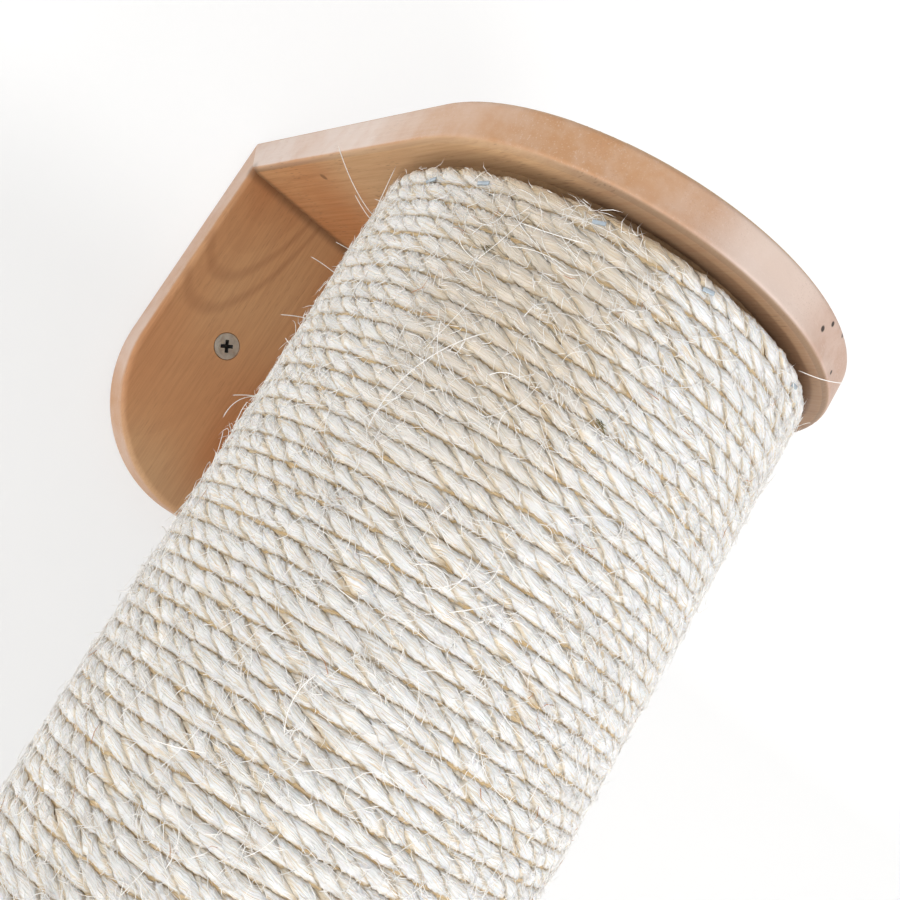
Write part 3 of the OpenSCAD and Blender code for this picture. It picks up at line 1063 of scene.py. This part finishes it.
def staple_master(metal):
    """One flat-wire staple with its back along X and its legs down."""
    bpy.ops.mesh.primitive_cube_add(size=1.0, location=(0, 0, 0))
    piece = new_piece("staple")
    start_edit()
    inner = metal.crown - 2 * metal.wire_height
    bpy.ops.transform.resize(value=(inner, metal.wire_width, metal.wire_height))
    for side in (-1, 1):
        edit_select(piece, lambda face: face.normal.x * side > 0.9)
        extrude((side * metal.wire_height, 0, 0))
        edge = inner / 2
        edit_select(piece, lambda face: face.normal.z < -0.9 and face.calc_center_median().x * side > edge)
        extrude((0, 0, -metal.leg))
        bpy.ops.transform.resize(value=(0.5, 0.6, 1.0))
    end_edit()
    bevel = piece.modifiers.new("rounding", "BEVEL")
    bevel.width = metal.wire_height * 0.22
    bevel.segments = 2
    apply_modifiers(piece)
    smooth(piece, 50)
    return piece


class CLIMBINGPOST_OT_drive_staples(bpy.types.Operator):
    """Drive the staples that hold the first and the last turn of the rope"""

    bl_idname = "climbing_post.drive_staples"
    bl_label = "Drive staples"

    def execute(self, context):
        metal = context.scene.climbing_post_metal
        rope = context.scene.climbing_post_rope
        material = metal_material("staple_wire", tuple(metal.wire), 0.3, 0.5, 0.85)
        chance = random.Random(rope.seed + 3)
        out = WINDING_RADIUS - 0.2 * MM
        places = {}
        for end, sign in (("upper", 1), ("lower", -1)):
            for number, (degrees, drop) in enumerate(STAPLES, 1):
                theta = math.radians(degrees)
                wound = (rope.start_angle - theta) % FULL_TURN / FULL_TURN
                if sign < 0:
                    wound = 1 - wound
                height = sign * (rope_top(rope) - rope.turn_pitch * wound - drop * MM)
                outward = Vector((math.cos(theta), math.sin(theta), 0))
                along = Vector((-math.sin(theta), math.cos(theta), 0))
                along = Matrix.Rotation(math.radians(chance.uniform(10, 24)), 3, outward) @ along
                turn = Matrix((along, outward.cross(along), outward)).transposed().to_4x4()
                spot = Vector((out * outward.x, AXIS_Y + out * outward.y, height))
                places[f"staple_{end}_{number:02d}"] = Matrix.Translation(spot) @ turn
        set_copies(staple_master(metal), places, material, "screw_steel")
        return {"FINISHED"}


def cut_recess(body):
    """Cuts a tapered cross into the head of a screw."""
    for turn in (20, 110):
        bpy.ops.mesh.primitive_cube_add(size=1.0, location=(0, 0, 0))
        cutter = new_piece("recess_cutter")
        start_edit()
        bpy.ops.transform.resize(value=(6.8 * MM, 1.7 * MM, 4.8 * MM))
        edit_select(cutter, lambda face: face.normal.z > 0.9)
        bpy.ops.transform.resize(value=(0.45, 0.7, 1.0))
        end_edit()
        place(cutter, Matrix.Rotation(math.radians(turn), 4, "Z"))
        cut = body.modifiers.new("recess", "BOOLEAN")
        cut.operation = "DIFFERENCE"
        cut.solver = "EXACT"
        cut.object = cutter
        apply_modifiers(body)
        bpy.data.objects.remove(cutter)


def paint_recess_shade(body, recess):
    """Gives the faces inside the recess its own near-black material, which paints the shade in the recess."""
    body.data.materials.append(recess)
    make_active(body)
    start_edit()
    reach, low, high = 2.6 * MM, 0.05 * MM, 2.5 * MM

    def in_recess(face):
        middle = face.calc_center_median()
        return middle.to_2d().length < reach and low < middle.z < high

    edit_select(body, in_recess)
    body.active_material_index = 1
    bpy.ops.object.material_slot_assign()
    end_edit()


def thread_piece(start, end, pitch):
    """A three-sided ridge wound round the Z axis from start to end."""
    bpy.ops.mesh.primitive_circle_add(vertices=3, radius=1.0 * MM, fill_type="NOTHING", location=(0, 0, 0))
    thread = new_piece("thread")
    start_edit()
    ridge = bmesh.from_edit_mesh(thread.data)
    for vert, (out, up) in zip(ridge.verts, ((1.6, -0.5), (2.48, 0.0), (1.6, 0.5))):
        vert.co = Vector((out * MM, 0, start + up * MM))
    bmesh.update_edit_mesh(thread.data)
    end_edit()
    screw = thread.modifiers.new("thread", "SCREW")
    screw.angle = FULL_TURN
    screw.screw_offset = pitch
    screw.iterations = max(int((end - start) / pitch), 1)
    screw.steps = screw.render_steps = 16
    apply_modifiers(thread)
    start_edit()
    bpy.ops.mesh.fill_holes(sides=3)
    bpy.ops.mesh.normals_make_consistent(inside=False)
    end_edit()
    return thread


def screw_master(name, length, metal, material):
    """One countersunk wood screw with a cross recess, its head's top at zero and its point up along Z."""
    head, neck, core = SCREW_HEAD_RADIUS, 1.9 * MM, 1.75 * MM
    head_rim = 0.4 * MM
    neck_end = PLATE_THICKNESS - 0.2 * MM
    bpy.ops.mesh.primitive_circle_add(vertices=32, radius=head, fill_type="NGON", location=(0, 0, 0))
    body = new_piece(name)
    start_edit()
    profile = (
        (head_rim, head),
        (head_rim + head - neck, neck),
        (neck_end, neck),
        (neck_end + 1 * MM, core),
        (length - 5 * MM, core),
        (length - 2 * MM, core * 0.55),
        (length, 0.12 * MM),
    )
    draw_up(0.0, head, profile)
    turn_outwards()
    end_edit()
    cut_recess(body)
    body.data.materials.clear()
    body.data.materials.append(material)
    # Painted shade: the faces inside the recess are nearly black
    paint_recess_shade(body, metal_material(f"{name}_recess", times(metal.zinc, 0.08), 0.6, 0.8, 0.5))
    thread = thread_piece(neck_end + 2.5 * MM, length - 5 * MM, metal.thread_pitch)
    make_active(body)
    thread.select_set(True)
    bpy.ops.object.join()
    smooth(body, 32)
    return body


class CLIMBINGPOST_OT_fit_wall_screws(bpy.types.Operator):
    """Fit the four screws that hold the brackets on the wall"""

    bl_idname = "climbing_post.fit_wall_screws"
    bl_label = "Fit wall screws"

    def execute(self, context):
        metal = context.scene.climbing_post_metal
        low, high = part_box("wall_screws")
        material = metal_material("zinc_screw", tuple(metal.zinc), 0.35, 0.6)
        into_wall = Matrix.Rotation(-QUARTER_TURN, 4, "X")
        x, z = high.x - SCREW_HEAD_RADIUS, high.z - SCREW_HEAD_RADIUS
        places = {}
        for number, spot in enumerate(((-x, low.y, z), (x, low.y, z), (-x, low.y, -z), (x, low.y, -z)), 1):
            turn = into_wall @ Matrix.Rotation(math.radians(40 * number), 4, "Z")
            places[f"wall_screw_{number}"] = Matrix.Translation(spot) @ turn
        master = screw_master("wall_screw", high.y - low.y, metal, material)
        set_copies(master, places, material, "screw_steel", "wall_screws")
        return {"FINISHED"}


class CLIMBINGPOST_OT_fit_post_screws(bpy.types.Operator):
    """Fit the eight screws that hold the post between the end plates"""

    bl_idname = "climbing_post.fit_post_screws"
    bl_label = "Fit post screws"

    def execute(self, context):
        metal = context.scene.climbing_post_metal
        low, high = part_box("post_screws")
        material = metal_material("zinc_post_screw", tuple(metal.zinc), 0.35, 0.6)
        reach = (high.x - SCREW_HEAD_RADIUS) * math.sqrt(2)
        length = 30 * MM
        places = {}
        for number in range(1, 9):
            face, tilt = (high.z, math.pi) if number <= 4 else (low.z, 0.0)
            theta = math.radians(90 * number - 45)
            spot = Vector((reach * math.cos(theta), AXIS_Y + reach * math.sin(theta), face))
            turn = Matrix.Rotation(tilt, 4, "X") @ Matrix.Rotation(math.radians(35 * number), 4, "Z")
            places[f"post_screw_{number}"] = Matrix.Translation(spot) @ turn
        master = screw_master("post_screw", length, metal, material)
        set_copies(master, places, material, "screw_steel", "post_screws")
        return {"FINISHED"}


# The boards and the hidden core


def on_rim(degrees, height):
    """A place on the round front edge of the upper end plate."""
    theta = math.radians(degrees)
    return PLATE_HALF_WIDTH * math.cos(theta), AXIS_Y + PLATE_HALF_WIDTH * math.sin(theta), INNER_Z + height


class CLIMBINGPOST_OT_finish_boards(bpy.types.Operator):
    """Give the two brackets their wood"""

    bl_idname = "climbing_post.finish_boards"
    bl_label = "Finish boards"

    def execute(self, context):
        wood = context.scene.climbing_post_wood
        wall_plates = {
            "upper_wall_plate": dict(
                pith=(-69 * MM, 10 * MM, 236 * MM), rise=-0.25, seed=0.0, figure=(22.8 * MM, 26.5 * MM)
            ),
            "lower_wall_plate": dict(
                pith=(52 * MM, 12 * MM, -240 * MM), rise=0.2, seed=3.1, figure=(22 * MM, 25.5 * MM)
            ),
        }
        # Four dark specks on the rim, each with its radius in millimetres, and a knot on the underside
        specks = ((285.0, 7.5, 1.24), (287.5, 11.5, 1.085), (293.8, 13.2, 0.93), (298.0, 3.6, 0.93))
        marks = [(on_rim(degrees, up * MM), radius * MM, 1.6) for degrees, up, radius in specks]
        marks.append(((-72 * MM, -61 * MM, INNER_Z), 2.0 * MM, 0.6))
        end_plates = {
            "upper_end_plate": dict(
                pith=(20 * MM, -340 * MM, -90 * MM), rise=0.06, seed=5.7, marks=marks,
                scuff=(on_rim(288, 9 * MM), on_rim(267, 9 * MM)),
            ),
            "lower_end_plate": dict(pith=(-30 * MM, 330 * MM, -60 * MM), rise=-0.08, seed=8.3),
        }
        for name, grain in wall_plates.items():
            dress_node(name, wall_plate_material(f"{name}_wood", wood, **grain))
        for name, grain in end_plates.items():
            dress_node(name, end_plate_material(f"{name}_wood", wood, **grain))
        return {"FINISHED"}


class CLIMBINGPOST_OT_finish_core(bpy.types.Operator):
    """Give the tube, its plugs and the biscuits their materials"""

    bl_idname = "climbing_post.finish_core"
    bl_label = "Finish core"

    def execute(self, context):
        wood = context.scene.climbing_post_wood
        darker = times(wood.plain, 0.78)
        dress_node("post_tube", cardboard_material(wood))
        plug = plain_wood_material("plug_wood", tuple(wood.plain), darker, (1.0, 0.05, 1.0))
        dress_node("upper_tube_plug", plug)
        dress_node("lower_tube_plug", plug)
        biscuit = plain_wood_material("pressed_biscuit", times(wood.plain, 0.9), darker, (0.3, 1.0, 1.0))
        dress_node("mitre_biscuits", biscuit)
        return {"FINISHED"}


# Camera, light, floor and wall

CAMERA_PLACE = (-0.2189, -0.4844, 0.1336)
CAMERA_TURN = (103.638, -30.447, -37.372)
CAMERA_LENS = 52.72
LAMPS_AIM = Vector((0, -0.1, 0.1))


class CLIMBINGPOST_OT_set_stage(bpy.types.Operator):
    """Set up the camera, the light, the wall and the floor"""

    bl_idname = "climbing_post.set_stage"
    bl_label = "Set stage"

    def execute(self, context):
        stage = context.scene.climbing_post_stage
        scene = context.scene
        scene.view_settings.view_transform = "Standard"

        turn = [math.radians(angle) for angle in CAMERA_TURN]
        bpy.ops.object.camera_add(location=CAMERA_PLACE, rotation=turn)
        camera = bpy.context.active_object
        camera.name = "photo_camera"
        camera.data.sensor_width = 36.0
        camera.data.lens = CAMERA_LENS
        camera.data.clip_start = 0.01
        scene.camera = camera

        for name, spot, size, power in (
            ("key_light", (0.62, -1.2, -0.45), 0.5, stage.key),
            ("fill_light", (-0.5, -1.0, -0.5), 0.4, stage.fill),
            ("side_light", (-1.1, -0.4, -0.45), 0.45, stage.side),
        ):
            bpy.ops.object.light_add(type="AREA", location=spot)
            light = bpy.context.active_object
            light.name = name
            light.rotation_euler = (LAMPS_AIM - Vector(spot)).to_track_quat("-Z", "Y").to_euler()
            light.data.shape = "DISK"
            light.data.size = size
            light.data.energy = power

        room = Finish(bpy.data.worlds.new("room_light"), "ShaderNodeOutputWorld")
        scene.world = room.owner
        around = room.feed("ShaderNodeBackground", 0, (1.0, 1.0, 1.0), stage.ambient)
        seen = room.feed("ShaderNodeBackground", 0, (1.0, 1.0, 1.0), 1.0)
        room.put(room.output.inputs["Surface"], room.mix_shaders(room.seen_rays(), around, seen))
        self.lay_backdrop(-OUTER_Z - stage.floor_drop, backdrop_material(tuple(stage.wall)))
        return {"FINISHED"}

    def lay_backdrop(self, floor_z, material):
        """Adds one sheet: the floor, a round cove and the wall, seen from the room side only."""
        width, depth, height = 8.0, 4.0, 3.2
        behind, near = 0.3 * MM, 10 * MM
        deselect_all()
        bpy.ops.mesh.primitive_plane_add(size=1.0, location=(0, 0, 0))
        backdrop = new_piece("floor_and_wall")
        start_edit()
        bpy.ops.transform.resize(value=(width, depth, 1.0))
        bpy.ops.transform.translate(value=(0, behind - depth / 2, floor_z))
        edit_select(backdrop, lambda edge: all(v.co.y > -near for v in edge.verts), "edges")
        extrude((0, 0, height))

        def in_corner(edge):
            return all(v.co.y > -near and v.co.z < floor_z + near for v in edge.verts)

        edit_select(backdrop, in_corner, "edges")
        bpy.ops.mesh.bevel(offset=0.1, segments=12, affect="EDGES")
        end_edit()
        backdrop.data.materials.append(material)
        smooth(backdrop, 60)


class CLIMBINGPOST_PT_panel(bpy.types.Panel):
    """Steps and settings of the climbing post"""

    bl_label = "Climbing Post"
    bl_space_type = "VIEW_3D"
    bl_region_type = "UI"
    bl_category = "Climbing Post"

    def draw(self, context):
        for step in STEPS:
            self.layout.operator(step.bl_idname)
        for key in SETTINGS:
            box = self.layout.box()
            settings = getattr(context.scene, key)
            for name in settings.__annotations__:
                box.prop(settings, name)


SETTINGS = {
    "climbing_post_stage": ClimbingPostStage,
    "climbing_post_wood": ClimbingPostWood,
    "climbing_post_rope": ClimbingPostRope,
    "climbing_post_fibres": ClimbingPostFibres,
    "climbing_post_metal": ClimbingPostMetal,
}
STEPS = (
    CLIMBINGPOST_OT_set_stage,
    CLIMBINGPOST_OT_finish_boards,
    CLIMBINGPOST_OT_finish_core,
    CLIMBINGPOST_OT_wind_rope,
    CLIMBINGPOST_OT_raise_fibres,
    CLIMBINGPOST_OT_drive_staples,
    CLIMBINGPOST_OT_fit_wall_screws,
    CLIMBINGPOST_OT_fit_post_screws,
)


def register():
    for group in SETTINGS.values():
        bpy.utils.register_class(group)
    for key, group in SETTINGS.items():
        setattr(bpy.types.Scene, key, bpy.props.PointerProperty(type=group))
    for step in STEPS:
        bpy.utils.register_class(step)
    bpy.utils.register_class(CLIMBINGPOST_PT_panel)


def unregister():
    bpy.utils.unregister_class(CLIMBINGPOST_PT_panel)
    for step in reversed(STEPS):
        bpy.utils.unregister_class(step)
    for key in SETTINGS:
        delattr(bpy.types.Scene, key)
    for group in reversed(list(SETTINGS.values())):
        bpy.utils.unregister_class(group)


def main():
    register()
    bpy.ops.climbing_post.set_stage()
    bpy.ops.climbing_post.finish_boards()
    bpy.ops.climbing_post.finish_core()
    bpy.ops.climbing_post.wind_rope()
    bpy.ops.climbing_post.raise_fibres()
    bpy.ops.climbing_post.drive_staples()
    bpy.ops.climbing_post.fit_wall_screws()
    bpy.ops.climbing_post.fit_post_screws()


if __name__ == "__main__":
    main()
